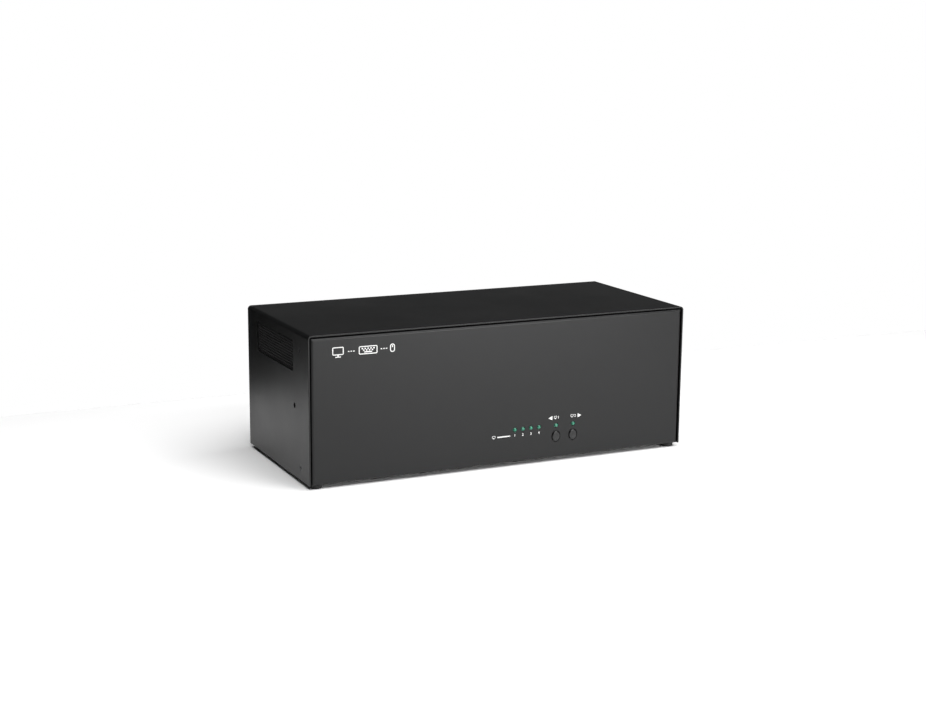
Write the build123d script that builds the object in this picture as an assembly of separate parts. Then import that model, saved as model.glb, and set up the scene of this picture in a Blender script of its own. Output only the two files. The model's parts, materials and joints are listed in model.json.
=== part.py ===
"""Four-computer, four-screen desktop KVM switch in a two-piece sheet-metal case, in millimetres.

The case stands on four rubber feet with its floor at z = 0. +Z is up, the front panel faces -Y and
the sockets face +Y, so a person at the front has -X on the left. The origin is at the middle of the
footprint. Inside are a control board, four stacked video boards and an open-frame power supply.
"""

from build123d import *
import math
import os

# ---------------------------------------------------------------- case
CASE_W = 346.0  # over the cover
CASE_D = 150.0  # front edge to rear edge of the cover
CASE_H = 122.0  # without the feet
FOOT_H = 3.5
SHEET = 1.2  # steel sheet of the cover, panels and base
COVER_BEND = 3.0  # outside radius of the cover's two long bends
PANEL_BEND = 2.4  # outside radius of the front panel's bends
PANEL_GAP = 0.8  # between the front panel and the cover around it
SLIDE_GAP = 0.3  # between the base's walls and the cover
EDGE_BREAK = 0.2  # rounding of the cover's sheared front edge
LED_PROUD = 1.2  # lens domes in front of the panel
SOCKET_PROUD = 5.0  # video socket shells behind the rear panel

FRONT = LED_PROUD - (CASE_D + SOCKET_PROUD + LED_PROUD) / 2  # y of the front face
BACK = FRONT + CASE_D  # y of the rear face
BOTTOM = FOOT_H  # z of the case's underside
TOP = BOTTOM + CASE_H
SIDE = CASE_W / 2  # x of the cover's outside
INNER = SIDE - SHEET  # x of the cover's inside
FLOOR = BOTTOM + SHEET  # underside of the base plate, which lies on the panels' bottom flanges
DECK = FLOOR + SHEET  # top of the base plate

# ---------------------------------------------------------------- fasteners
M3_R = 1.5
M3_HOLE_R = 1.7  # clearance
M3_CORE_R = 1.55  # tapped
M3_SINK_R = 3.0  # countersink at the surface
CLINCH_R = 2.1  # neck of a clinched nut or post
M4_CORE_R = 1.65
M4_HOLE_R = 2.25
M4_CLINCH_R = 2.7

# ---------------------------------------------------------------- front panel
PANEL_X = INNER - PANEL_GAP
PANEL_TOP = TOP - SHEET - PANEL_GAP
SIDE_FLANGE = 25.0
TOP_FLANGE = 14.0
FOOT_FLANGE = 20.0  # bottom flanges of the front and rear panels
FLANGE_SCREW_X = (-70.0, 0.0, 70.0)
FLANGE_SCREW_INSET = 12.0  # from the front or rear face

# ---------------------------------------------------------------- rear panel
REAR_X = INNER - 0.5
REAR_TOP = TOP - SHEET - 0.5
LIP = 10.0  # the cover's return flanges in front of the rear panel
LIP_Y = BACK - SHEET  # rear face of the lips
REAR_TOP_SCREWS = (-110.0, 0.0, 110.0)
REAR_SIDE_SCREWS = (BOTTOM + 40.0, BOTTOM + 84.0)
REAR_SCREW_INSET = 6.0

# ---------------------------------------------------------------- side features, from FRONT and BOTTOM
VENT_Y = (35.5, 125.0)
VENT_Z = (87.0, 113.0)
VENT_CORNER = 1.5
MESH_LAP = 4.0  # how far the grille runs past its window
MESH_T = 1.0
MESH_PITCH = 2.6
MESH_HOLE = 2.0  # across the flats of the hexagonal holes
COVER_SCREW_Y = 20.3
COVER_SCREW_Z = (10.6, 106.4)
MOUNT_Y = 33.1
MOUNT_Z = 59.5

# ---------------------------------------------------------------- feet
FOOT_X = SIDE - 8.0
FOOT_INSET = 7.5
FOOT_TOP_R = 6.0
FOOT_END_R = 5.0
FOOT_SINK_R = 3.1
FOOT_SINK = 2.2

# ---------------------------------------------------------------- controls
LED_Z = BOTTOM + 28.2
LED_X = [9.9 + 7.62 * i for i in range(4)]  # one per computer
MODE_X = [49.2, 65.5]  # the two buttons and the lamp above each
BUTTON_Z = BOTTOM + 18.7
LED_R = 1.9
LED_HOLE_R = 2.05
LED_LENGTH = 5.3
LED_FLANGE_R = 2.3
SPACER_R = 2.6
SPACER_BORE_R = 2.1
LEAD_X = 1.27  # each lead's offset from the lamp's axis
LEAD_W = 0.5
BUTTON_RADII = (3.6, 4.5)  # the caps are upright ovals: half width, half height
BUTTON_GAP = 0.65  # between a cap and the panel around it
BUTTON_PROUD = 1.0
BUTTON_EDGE = 0.9  # rounding around each cap's face
BUTTON_FLANGE_R = 5.7
STEM_R = 2.4
DISH_RADIUS = 18.0  # of the sphere that hollows each cap's face
DISH_DEPTH = 0.15
TACT_W = 6.0
TACT_H = 3.5
PLUNGER_R = 1.75
PLUNGER_PROUD = 1.5

# ---------------------------------------------------------------- indicator board
PCB = 1.6
UI_GAP = 8.0  # front panel to board
UI_X = (2.0, 84.0)
UI_Z = (BOTTOM + 8.5, BOTTOM + 40.5)
UI_FRONT = FRONT + SHEET + UI_GAP
UI_STUDS = [(x, z) for x in (UI_X[0] + 3, UI_X[1] - 3) for z in (UI_Z[0] + 3.5, UI_Z[1] - 3.5)]
RIBBON_X = 43.0
RIBBON_Z = BOTTOM + 34.5  # of its header on the indicator board
RIBBON_W = 12.7
RIBBON_T = 0.9
RIBBON_HEADER = (20.0, 8.0, 7.0)  # length, width, height

# ---------------------------------------------------------------- main boards
BOARD_X = (-80.0, 165.0)
BOARD_Y = (FRONT + 32.0, BACK - 3.5)
CONTROL_Y = (FRONT + 20.0, BOARD_Y[1])  # the control board also reaches in front of the others
CONTROL_HEADER_Y = CONTROL_Y[0] + 6.0
CONTROL_TOP = DECK + 9.1
VIDEO_TOP = [CONTROL_TOP + 20.0 * (i + 1) for i in range(4)]
POST_X = (BOARD_X[0] + 5.0, BOARD_X[1] - 5.0)
POST_Y = (BOARD_Y[0] + 5.0, BOARD_Y[1] - 20.0)
POST_FLATS = 5.5
STACK_X = (-30.0, 95.0)  # middles of the board-to-board connectors
STACK_SIZE = (52.0, 5.0)
CHIP_ROW_Y = BOARD_Y[0] + 44.0
CROSSPOINT_X = 40.0
CROSSPOINT_H = 1.6
SINK_W = 28.0  # heatsink on the crosspoint
SINK_FINS = 8
CONTROL_CHIP_SIZES = {-48.0: 8.0, -10.0: 14.0, 32.0: 10.0, 60.0: 10.0, 100.0: 12.0}  # by x
CONTROL_CAN_X = (-70.0, -60.0, 120.0, 131.0, 142.0)

# ---------------------------------------------------------------- sockets
SOCKET_X = [-52.0 + 46.0 * i for i in range(5)]  # four computers, then the console
VIDEO_AXIS = 7.0  # socket centre above its board
SHELL_W = 25.4
SHELL_H = 9.4
SHELL_T = 0.5
JACK_X = 16.5  # jackscrews either side of the socket
JACK_FLATS = 4.75
JACK_BORE_R = 1.2
FLANGE_W = 39.4
FLANGE_H = 14.0
FLANGE_T = 1.0
CONTACT_PITCH = 1.905
USB_B_W = 12.0
USB_B_H = 10.9
USB_A_W = 14.4
USB_A_H = 15.8
USB_A_SPREAD = 10.0  # either side of the console column
USB_WALL = 0.35
USB_PROUD = 0.8

# ---------------------------------------------------------------- power inlet and switch
POWER_X = -132.0
INLET_Z = BOTTOM + 27.0
INLET_W = 27.4
INLET_H = 19.8
INLET_DEPTH = 20.0
INLET_FLANGE = 2.5
INLET_SCREW_X = 20.0
SWITCH_Z = BOTTOM + 58.0
SWITCH_W = 13.0
SWITCH_H = 19.2
SWITCH_WALL = 1.8
SWITCH_TABS = (-6.0, 0.0)
BEZEL_FACE = BACK + 2.0
ROCKER_TILT = 10.0  # either side of the middle
ROCKER_R = 8.1
ROCKER_W = 9.0
ROCKER_PIVOT_Y = BACK - 1.5
TRUNNION_X = 5.6
TRUNNION_R = 1.0
TAB = 7.5  # length of the connection tabs behind the inlet and the switch
GROUND_X = -96.0
GROUND_Z = BOTTOM + 14.0
GROUND_LENGTH = 9.0
GROUND_WASHER = 0.8

# ---------------------------------------------------------------- power supply
SUPPLY_X = (-166.0, -92.0)
SUPPLY_Y = (FRONT + 34.0, FRONT + 108.0)
SUPPLY_TOP = CONTROL_TOP
SUPPLY_POST_INSET = 4.0
HEADER_H = 9.0
HEADER_TOP = SUPPLY_TOP + HEADER_H
AC_HEADER = (POWER_X + 9.0, SUPPLY_Y[1] - 6.0)
DC_HEADER = (-128.0, SUPPLY_Y[0] + 7.0)
BOARD_HEADER = (BOARD_X[0] + 14.0, CONTROL_HEADER_Y)
TRANSFORMER = (-131.0, SUPPLY_Y[0] + 38.0)
WIRE_R = 1.1


# ================================================================ helpers
def block(x, y, z):
    """A box given by its low and high limits along each axis."""
    size = [hi - lo for lo, hi in (x, y, z)]
    centre = [(hi + lo) / 2 for lo, hi in (x, y, z)]
    return Pos(*centre) * Box(*size)


def around(x, z, width, height, y):
    """A box centred on (x, z) across the y range."""
    return block((x - width / 2, x + width / 2), y, (z - height / 2, z + height / 2))


def rod(start, end, radius):
    """A cylinder between two points."""
    a, b = Vector(*start), Vector(*end)
    along = b - a
    stock = Cylinder(radius, along.length, align=(Align.CENTER, Align.CENTER, Align.MIN))
    return Plane(origin=a, z_dir=along).location * stock


def cone(start, end, start_radius, end_radius):
    """A truncated cone between two points."""
    a, b = Vector(*start), Vector(*end)
    along = b - a
    stock = Cone(start_radius, end_radius, along.length, align=(Align.CENTER, Align.CENTER, Align.MIN))
    return Plane(origin=a, z_dir=along).location * stock


def axle(x, z, y, radius):
    """A cylinder along Y through (x, z), across the y range."""
    return rod((x, y[0], z), (x, y[1], z), radius)


def oval(x, z, y, radii):
    """An elliptical bar along Y through (x, z), across the y range."""
    plane = Plane(origin=(x, y[0], z), x_dir=(1, 0, 0), z_dir=(0, 1, 0))
    return extrude(plane * Ellipse(*radii), y[1] - y[0])


def column(x, y, z, radius):
    """A cylinder along Z through (x, y), across the z range."""
    return rod((x, y, z[0]), (x, y, z[1]), radius)


def crosswise(side, x, y, z, radius):
    """A cylinder along X through (y, z), across the x range, or its mirror image for side -1."""
    return rod((side * x[0], y, z), (side * x[1], y, z), radius)


def hexagon(start, end, across_flats):
    """A hexagonal bar between two points."""
    a, b = Vector(*start), Vector(*end)
    along = b - a
    sketch = RegularPolygon(across_flats / 2, 6, major_radius=False)
    return Plane(origin=a, z_dir=along).location * extrude(sketch, along.length)


def group(solids):
    """Separate solids that share one node."""
    return Compound(children=[s for item in solids for s in item.solids()])


def moved(point, direction, shape):
    """shape, made along +Z from the origin, laid along direction from point."""
    return Plane(origin=Vector(*point), z_dir=Vector(*direction)).location * shape


def cross_recess(size, depth):
    """A cross-head driver recess, cut down from z = 0."""
    arm = Box(size, size / 4, depth, align=(Align.CENTER, Align.CENTER, Align.MAX))
    return arm + Rot(0, 0, 90) * arm


def pan_screw(length, radius=M3_R, head_radius=2.8, head_height=1.9):
    """A pan-head screw whose shank runs down from z = 0 and whose head stands above it."""
    head = Cylinder(head_radius, head_height, align=(Align.CENTER, Align.CENTER, Align.MIN))
    head = fillet(head.edges().group_by(Axis.Z)[-1], head_height * 0.45)
    head -= Pos(0, 0, head_height) * cross_recess(head_radius * 1.1, head_height * 0.6)
    return head + Cylinder(radius, length, align=(Align.CENTER, Align.CENTER, Align.MAX))


def flat_screw(length, sink=0.1):
    """An M3 countersunk screw whose head lies just under z = 0 and whose shank runs down."""
    head = cone((0, 0, -sink), (0, 0, -SHEET), M3_SINK_R - sink, M3_SINK_R - SHEET)
    head -= Pos(0, 0, -sink) * cross_recess(3.2, 0.8)
    return head + rod((0, 0, -SHEET), (0, 0, -length), M3_R)


# ================================================================ case
def u_profile(width, height, radius):
    """An upside-down U's outside as a face in XZ: square at the foot, rounded at the shoulders."""
    face = Rectangle(width, height, align=(Align.CENTER, Align.MIN))
    return fillet(face.vertices().group_by(Axis.Y)[-1], radius)


def make_top_cover():
    """Top and both sides from one sheet, with vent windows, countersinks and three rear lips."""
    outside = u_profile(CASE_W, CASE_H, COVER_BEND)
    inside = u_profile(2 * INNER, CASE_H - SHEET, COVER_BEND - SHEET)
    back_plane = Plane(origin=(0, BACK, BOTTOM), x_dir=(1, 0, 0), z_dir=(0, -1, 0))
    cover = extrude(back_plane * (outside - inside), CASE_D)
    front_edges = cover.edges().filter_by(lambda e: abs(e.center().Y - FRONT) < 1e-3 and e.length > 2)
    cover = fillet(front_edges, EDGE_BREAK)

    lip_y = (LIP_Y - SHEET, LIP_Y)
    reach = 0.5  # the lips run this far into the sheet they bend from
    cover += block((-INNER + 14, INNER - 14), lip_y, (TOP - SHEET - LIP, TOP - reach))
    for side in (-1, 1):
        x = sorted((side * (INNER - LIP), side * (INNER + reach)))
        cover += block(x, lip_y, (BOTTOM + 22, TOP - 16))

    cuts = []
    for x, z in rear_screw_places():
        cuts.append(axle(x, z, (BACK - 6, BACK), M3_HOLE_R))
    for side in (-1, 1):
        wall = sorted((side * (INNER - 1), side * (SIDE + 1)))
        window = block(wall, [FRONT + y for y in VENT_Y], [BOTTOM + z for z in VENT_Z])
        cuts.append(fillet(window.edges().filter_by(Axis.X), VENT_CORNER))
        for z in COVER_SCREW_Z:
            y, height = FRONT + COVER_SCREW_Y, BOTTOM + z
            sink_end = (side * INNER, y, height)
            cuts.append(cone((side * SIDE, y, height), sink_end, M3_SINK_R, M3_SINK_R - SHEET))
    cuts.append(crosswise(-1, (INNER - 1, SIDE + 1), FRONT + MOUNT_Y, BOTTOM + MOUNT_Z, M4_HOLE_R))
    return cover - cuts


def make_vent_grille(side):
    """Perforated sheet behind one of the cover's windows."""
    y = (FRONT + VENT_Y[0] - MESH_LAP, FRONT + VENT_Y[1] + MESH_LAP)
    z = (BOTTOM + VENT_Z[0] - MESH_LAP, BOTTOM + VENT_Z[1] + MESH_LAP)
    x = min(side * INNER, side * (INNER - MESH_T))
    row_step = MESH_PITCH * math.sqrt(3) / 2
    rows = int((VENT_Z[1] - VENT_Z[0]) / 2 / row_step)
    hole = RegularPolygon(MESH_HOLE / 2, 6, major_radius=False, rotation=30)
    holes = []
    for row in range(-rows, rows + 1):
        shift = MESH_PITCH / 2 if row % 2 else 0.0
        reach = (VENT_Y[1] - VENT_Y[0]) / 2 - MESH_PITCH / 2
        steps = int(reach / MESH_PITCH) + 1
        for step in range(-steps, steps + 1):
            along = step * MESH_PITCH + shift
            if abs(along) <= reach:
                holes.append(Pos(along, row * row_step) * hole)
    middle = (x, FRONT + sum(VENT_Y) / 2, BOTTOM + sum(VENT_Z) / 2)
    plane = Plane(origin=middle, x_dir=(0, 1, 0), z_dir=(1, 0, 0))
    return extrude(plane * (Rectangle(y[1] - y[0], z[1] - z[0]) - holes), MESH_T)


def make_front_panel():
    """A pan: the front face with four returned flanges, drilled for lamps, buttons and screws."""
    pan = block((-PANEL_X, PANEL_X), (FRONT, FRONT + SIDE_FLANGE), (BOTTOM, PANEL_TOP))
    pan = fillet(pan.faces().sort_by(Axis.Y)[0].edges(), PANEL_BEND)
    hollow = block(
        (-PANEL_X + SHEET, PANEL_X - SHEET),
        (FRONT + SHEET, FRONT + SIDE_FLANGE + 1),
        (BOTTOM + SHEET, PANEL_TOP - SHEET),
    )
    hollow = fillet(hollow.faces().sort_by(Axis.Y)[0].edges(), PANEL_BEND - SHEET)
    pan -= hollow
    relief = 3.0  # the flanges stop short of each other at the corners
    inner_x = (-PANEL_X + SHEET, PANEL_X - SHEET)
    pan -= block(inner_x, (FRONT + TOP_FLANGE, BACK), (PANEL_TOP - SHEET - 1, PANEL_TOP + 1))
    pan -= block(inner_x, (FRONT + FOOT_FLANGE, BACK), (BOTTOM - 1, BOTTOM + SHEET + 1))
    for side in (-1, 1):
        x = sorted((side * (PANEL_X - SHEET - 1), side * (PANEL_X + 1)))
        pan -= block(x, (FRONT + TOP_FLANGE, BACK), (PANEL_TOP - relief, PANEL_TOP + 1))
        pan -= block(x, (FRONT + FOOT_FLANGE, BACK), (BOTTOM - 1, BOTTOM + relief))
        for z in COVER_SCREW_Z:
            wall = (PANEL_X - SHEET - 1, PANEL_X + 1)
            pan -= crosswise(side, wall, FRONT + COVER_SCREW_Y, BOTTOM + z, CLINCH_R)
    face = (FRONT - 1, FRONT + SHEET + 1)
    lamp_holes = [axle(x, LED_Z, face, LED_HOLE_R) for x in LED_X + MODE_X]
    hole_radii = [radius + BUTTON_GAP for radius in BUTTON_RADII]
    button_holes = [oval(x, BUTTON_Z, face, hole_radii) for x in MODE_X]
    return pan - lamp_holes - button_holes - flange_holes(-1)


def rear_screw_places():
    """(x, z) of the screws that hold the rear panel to the cover's lips."""
    side_x = REAR_X - REAR_SCREW_INSET
    places = [(x, REAR_TOP - REAR_SCREW_INSET) for x in REAR_TOP_SCREWS]
    return places + [(side * side_x, z) for side in (-1, 1) for z in REAR_SIDE_SCREWS]


def foot_places():
    """(x, y) of the feet: front left, front right, rear left, rear right."""
    return [(x, y) for y in (FRONT + FOOT_INSET, BACK - FOOT_INSET) for x in (-FOOT_X, FOOT_X)]


def flange_screw_places():
    """(x, y) of the countersunk screws that hold both panels' bottom flanges to the base."""
    rows = (FRONT + FLANGE_SCREW_INSET, BACK - FLANGE_SCREW_INSET)
    return [(x, y) for y in rows for x in FLANGE_SCREW_X]


def flange_holes(end):
    """Foot and countersunk screw holes in the front (-1) or rear (1) panel's bottom flange."""
    feet = [(x, y) for x, y in foot_places() if y * end > 0]
    screws = [(x, y) for x, y in flange_screw_places() if y * end > 0]
    holes = [column(x, y, (BOTTOM - 1, FLOOR + 0.5), M3_HOLE_R) for x, y in feet]
    return holes + [cone((x, y, BOTTOM), (x, y, FLOOR), M3_SINK_R, M3_SINK_R - SHEET) for x, y in screws]


def make_chassis_base():
    """Base plate with two upright walls that stop below the vents."""
    wall_x = INNER - SLIDE_GAP
    wall_top = BOTTOM + VENT_Z[0] - MESH_LAP - 2
    wall_y = (FRONT + SIDE_FLANGE + 0.6, LIP_Y - SHEET - 0.5)
    tray = block((-wall_x, wall_x), wall_y, (FLOOR, wall_top))
    tray = fillet([e for e in tray.edges().filter_by(Axis.Y) if e.center().Z < FLOOR + 1], 1.8)
    core = block((-wall_x + SHEET, wall_x - SHEET), (FRONT, BACK), (DECK, wall_top + 1))
    core = fillet([e for e in core.edges().filter_by(Axis.Y) if e.center().Z < DECK + 1], 0.6)
    tray -= core
    panel_inner = PANEL_X - SHEET - 0.3
    tray += block((-panel_inner, panel_inner), (FRONT + PANEL_BEND + 0.1, wall_y[0] + 1), (FLOOR, DECK))
    tray += block((-panel_inner, panel_inner), (wall_y[1] - 1, BACK - SHEET - 0.3), (FLOOR, DECK))
    plate = (FLOOR - 1, DECK + 1)
    clinched = flange_screw_places() + board_post_places() + supply_post_places()
    holes = [column(x, y, plate, M3_HOLE_R) for x, y in foot_places()]
    holes += [column(x, y, plate, CLINCH_R) for x, y in clinched]
    wall = (wall_x - SHEET - 1, wall_x + 1)
    holes.append(crosswise(-1, wall, FRONT + MOUNT_Y, BOTTOM + MOUNT_Z, M4_CLINCH_R))
    return tray - holes


def make_rear_panel():
    """Flat socket plate with a bottom flange."""
    plate = block((-REAR_X, REAR_X), (BACK - SHEET, BACK), (BOTTOM, REAR_TOP))
    plate += block((-PANEL_X, PANEL_X), (BACK - FOOT_FLANGE, BACK), (BOTTOM, FLOOR))
    bend = plate.edges().filter_by(Axis.X).group_by(Axis.Z)[0].sort_by(Axis.Y)[-1]
    plate = fillet(bend, 1.1)
    upper_corners = plate.edges().filter_by(Axis.Y).group_by(Axis.Z)[-1]
    plate = fillet(upper_corners, 2.0)
    y = (BACK - SHEET - 1, BACK + 1)
    cuts = [axle(x, z, y, M3_HOLE_R) for x, z in rear_screw_places()]
    for x, z in video_places():
        cuts.append(d_prism(x, z, SHELL_W + 0.8, SHELL_H + 0.8, y))
        cuts += [axle(x + side * JACK_X, z, y, M3_HOLE_R) for side in (-1, 1)]
    for x in SOCKET_X[:4]:
        cuts.append(around(x, CONTROL_TOP + USB_B_H / 2, USB_B_W + 0.6, USB_B_H + 0.6, y))
    for x in console_usb_places():
        cuts.append(around(x, CONTROL_TOP + USB_A_H / 2, USB_A_W + 0.6, USB_A_H + 0.6, y))
    cuts.append(around(POWER_X, INLET_Z, INLET_W + 0.4, INLET_H + 0.4, y))
    cuts += [axle(POWER_X + side * INLET_SCREW_X, INLET_Z, y, M3_HOLE_R) for side in (-1, 1)]
    cuts.append(around(POWER_X, SWITCH_Z, SWITCH_W + 0.4, SWITCH_H + 0.4, y))
    cuts.append(axle(GROUND_X, GROUND_Z, y, 2.1))
    return plate - cuts - flange_holes(1)


def make_foot(x, y):
    """Tapered rubber foot with a sunk bore for its screw."""
    foot = cone((x, y, 0), (x, y, BOTTOM), FOOT_END_R, FOOT_TOP_R)
    foot = fillet(foot.edges().group_by(Axis.Z)[0], 0.8)
    return foot - column(x, y, (-1, FOOT_SINK), FOOT_SINK_R) - column(x, y, (0, BOTTOM + 1), M3_HOLE_R)


def make_foot_screws():
    screw = pan_screw(7.5, head_height=1.6)
    return [moved((x, y, FOOT_SINK), (0, 0, -1), screw) for x, y in foot_places()]


def make_countersunk_screws():
    """Ten alike: six under the base and four that hold the cover's sides to the front panel."""
    screws = [moved((x, y, BOTTOM), (0, 0, -1), flat_screw(6.0)) for x, y in flange_screw_places()]
    for side in (-1, 1):
        for z in COVER_SCREW_Z:
            place = (side * SIDE, FRONT + COVER_SCREW_Y, BOTTOM + z)
            screws.append(moved(place, (side, 0, 0), flat_screw(6.0)))
    return screws


def make_foot_nuts():
    """Plain hexagonal nuts on the base plate, above the feet's screws."""
    nut = hexagon((0, 0, DECK), (0, 0, DECK + 2.4), 5.5) - column(0, 0, (DECK - 1, DECK + 3), M3_CORE_R)
    return [Pos(x, y, 0) * nut for x, y in foot_places()]


def make_flange_nuts():
    """Clinch nuts in the base plate, above the flange screws."""
    nut = column(0, 0, (DECK, DECK + 2.2), 3.2) + column(0, 0, (FLOOR, DECK), CLINCH_R)
    nut -= column(0, 0, (FLOOR - 1, DECK + 3), M3_CORE_R)
    return [Pos(x, y, 0) * nut for x, y in flange_screw_places()]


def make_cover_nuts():
    """Shouldered clinch nuts in the front panel's side flanges: the shoulder meets the cover."""
    nuts = []
    flange = PANEL_X - SHEET
    for side in (-1, 1):
        for z in COVER_SCREW_Z:
            y, height = FRONT + COVER_SCREW_Y, BOTTOM + z
            nut = crosswise(side, (PANEL_X, INNER), y, height, 3.4)
            nut += crosswise(side, (flange, PANEL_X), y, height, CLINCH_R)
            nut += crosswise(side, (flange - 2.4, flange), y, height, 3.0)
            nuts.append(nut - crosswise(side, (flange - 4, SIDE), y, height, M3_CORE_R))
    return nuts


def make_side_mount_nut():
    """M4 clinch nut in the base's left wall, behind the cover's clearance hole."""
    y, z = FRONT + MOUNT_Y, BOTTOM + MOUNT_Z
    outer = INNER - SLIDE_GAP
    nut = crosswise(-1, (outer - SHEET, outer), y, z, M4_CLINCH_R)
    nut += crosswise(-1, (outer - SHEET - 2.6, outer - SHEET), y, z, 3.9)
    return nut - crosswise(-1, (outer - 6, outer + 1), y, z, M4_CORE_R)


def make_rear_screws():
    return [moved((x, BACK, z), (0, 1, 0), pan_screw(6.0)) for x, z in rear_screw_places()]


# ================================================================ front controls
def make_led(x):
    """A small round lamp: domed lens, barrel, base flange and two leads through its board."""
    tip = FRONT - LED_PROUD
    base = tip + LED_LENGTH
    lens = Pos(x, tip + LED_R, LED_Z) * Sphere(LED_R)
    lens += axle(x, LED_Z, (tip + LED_R, base), LED_R)
    lens += axle(x, LED_Z, (base - 1.0, base), LED_FLANGE_R)
    end = UI_FRONT + PCB + 1.5
    leads = [around(x + side * LEAD_X, LED_Z, LEAD_W, LEAD_W, (base, end)) for side in (-1, 1)]
    return group([lens] + leads)


def make_led_spacers():
    """Plastic tubes that hold the lamps off their board."""
    base = FRONT - LED_PROUD + LED_LENGTH
    tubes = []
    for x in LED_X + MODE_X:
        tube = axle(x, LED_Z, (base, UI_FRONT), SPACER_R)
        tubes.append(tube - axle(x, LED_Z, (base - 1, UI_FRONT + 1), SPACER_BORE_R))
    return tubes


def make_button(x):
    """Oval push-button cap: dished face, retaining flange and a stem that rests on the switch."""
    face = FRONT - BUTTON_PROUD
    flange = (FRONT + SHEET + 0.15, FRONT + SHEET + 1.15)
    cap = oval(x, BUTTON_Z, (face, flange[1]), BUTTON_RADII)
    cap = fillet(cap.edges().group_by(Axis.Y)[0], BUTTON_EDGE)
    cap += axle(x, BUTTON_Z, flange, BUTTON_FLANGE_R)
    cap += axle(x, BUTTON_Z, (flange[1], UI_FRONT - TACT_H - PLUNGER_PROUD), STEM_R)
    return cap - Pos(x, face - DISH_RADIUS + DISH_DEPTH, BUTTON_Z) * Sphere(DISH_RADIUS)


def make_button_guide():
    """Plastic block behind the panel whose two bores carry the caps' flanges."""
    y = (FRONT + SHEET + 0.05, FRONT + SHEET + 2.6)
    x = (MODE_X[0] - 7.5, MODE_X[1] + 7.5)
    z = (BUTTON_Z - 7.0, BUTTON_Z + 7.0)
    guide = block(x, y, z)
    guide = fillet(guide.edges().filter_by(Axis.Y), 2.0)
    guide -= [axle(at, BUTTON_Z, (y[0] - 1, y[1] + 1), BUTTON_FLANGE_R + 0.3) for at in MODE_X]
    leg_r = 1.2
    inset = leg_r + 0.1
    for leg_x in (x[0] + inset, sum(MODE_X) / 2, x[1] - inset):
        for leg_z in (z[0] + inset, z[1] - inset):
            guide += axle(leg_x, leg_z, (y[0] + 0.5, UI_FRONT), leg_r)
    return guide


def make_tact_switch(x):
    """Surface-mounted tactile switch body with its four terminals."""
    front = UI_FRONT - TACT_H
    body = around(x, BUTTON_Z, TACT_W, TACT_W, (front, UI_FRONT))
    body -= axle(x, BUTTON_Z, (front - 1, front + 2.2), PLUNGER_R + 0.1)
    terminals = []
    for side_x in (-1, 1):
        for side_z in (-1, 1):
            centre = (x + side_x * (TACT_W / 2 + 0.7), BUTTON_Z + side_z * 2.25)
            terminals.append(around(*centre, 1.4, 0.7, (UI_FRONT - 0.2, UI_FRONT)))
    return group([body] + terminals)


def make_tact_plunger(x):
    """The switch's plunger, which the cap pushes."""
    front = UI_FRONT - TACT_H
    return axle(x, BUTTON_Z, (front - PLUNGER_PROUD, front + 1.2), PLUNGER_R)


def make_ui_board():
    """Indicator board behind the lamps and buttons."""
    through = (UI_FRONT - 1, UI_FRONT + PCB + 1)
    board = block(UI_X, (UI_FRONT, UI_FRONT + PCB), UI_Z)
    board -= [axle(x, z, through, M3_HOLE_R) for x, z in UI_STUDS]
    lead_x = [x + side * LEAD_X for x in LED_X + MODE_X for side in (-1, 1)]
    return board - [around(x, LED_Z, LEAD_W + 0.2, LEAD_W + 0.2, through) for x in lead_x]


def make_ui_studs():
    """Standoffs pressed on the back of the front panel."""
    studs = []
    for x, z in UI_STUDS:
        stud = hexagon((x, FRONT + SHEET, z), (x, UI_FRONT, z), 5.0)
        studs.append(stud - axle(x, z, (UI_FRONT - 5.5, UI_FRONT + 1), M3_CORE_R))
    return studs


def make_ui_screws():
    return [moved((x, UI_FRONT + PCB, z), (0, 1, 0), pan_screw(5.0)) for x, z in UI_STUDS]


def make_ribbon_headers():
    """Ten-way box headers on the indicator board and on the front strip of the control board."""
    length, width, height = RIBBON_HEADER
    ui_back = UI_FRONT + PCB
    x = (RIBBON_X - length / 2, RIBBON_X + length / 2)
    y = (CONTROL_HEADER_Y - width / 2, CONTROL_HEADER_Y + width / 2)
    upper = around(RIBBON_X, RIBBON_Z, length, width, (ui_back, ui_back + height))
    return [upper, block(x, y, (CONTROL_TOP, CONTROL_TOP + height))]


def make_ribbon_cable():
    """Flat ten-way cable bent from one header to the other."""
    height = RIBBON_HEADER[2]
    path = FilletPolyline(
        (RIBBON_X, UI_FRONT + PCB + height, RIBBON_Z),
        (RIBBON_X, CONTROL_HEADER_Y, RIBBON_Z),
        (RIBBON_X, CONTROL_HEADER_Y, CONTROL_TOP + height),
        radius=4.0,
    )
    section = Plane(origin=path @ 0, z_dir=path % 0, x_dir=(1, 0, 0)) * Rectangle(RIBBON_W, RIBBON_T)
    return sweep(section, path=path)


# ================================================================ boards
def board_post_places():
    """(x, y) of the four columns of posts."""
    return [(x, y) for x in POST_X for y in POST_Y]


def board_stack():
    """z limits of the five boards, from the control board upwards."""
    return [(top - PCB, top) for top in [CONTROL_TOP] + VIDEO_TOP]


def make_board(y, z):
    """One board of the stack, drilled for the posts' screws."""
    board = block(BOARD_X, y, z)
    board = fillet(board.edges().filter_by(Axis.Z), 2.0)
    return board - [column(*at, (z[0] - 1, z[1] + 1), M3_HOLE_R) for at in board_post_places()]


def make_post(bottom, top):
    """One hexagonal post at x = y = 0; a post that stands on the base is clinched into it."""
    post = hexagon((0, 0, bottom), (0, 0, top), POST_FLATS)
    if bottom == DECK:
        post += column(0, 0, (FLOOR, DECK), CLINCH_R)
    return post - column(0, 0, (FLOOR - 1, top + 1), M3_CORE_R)


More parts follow.
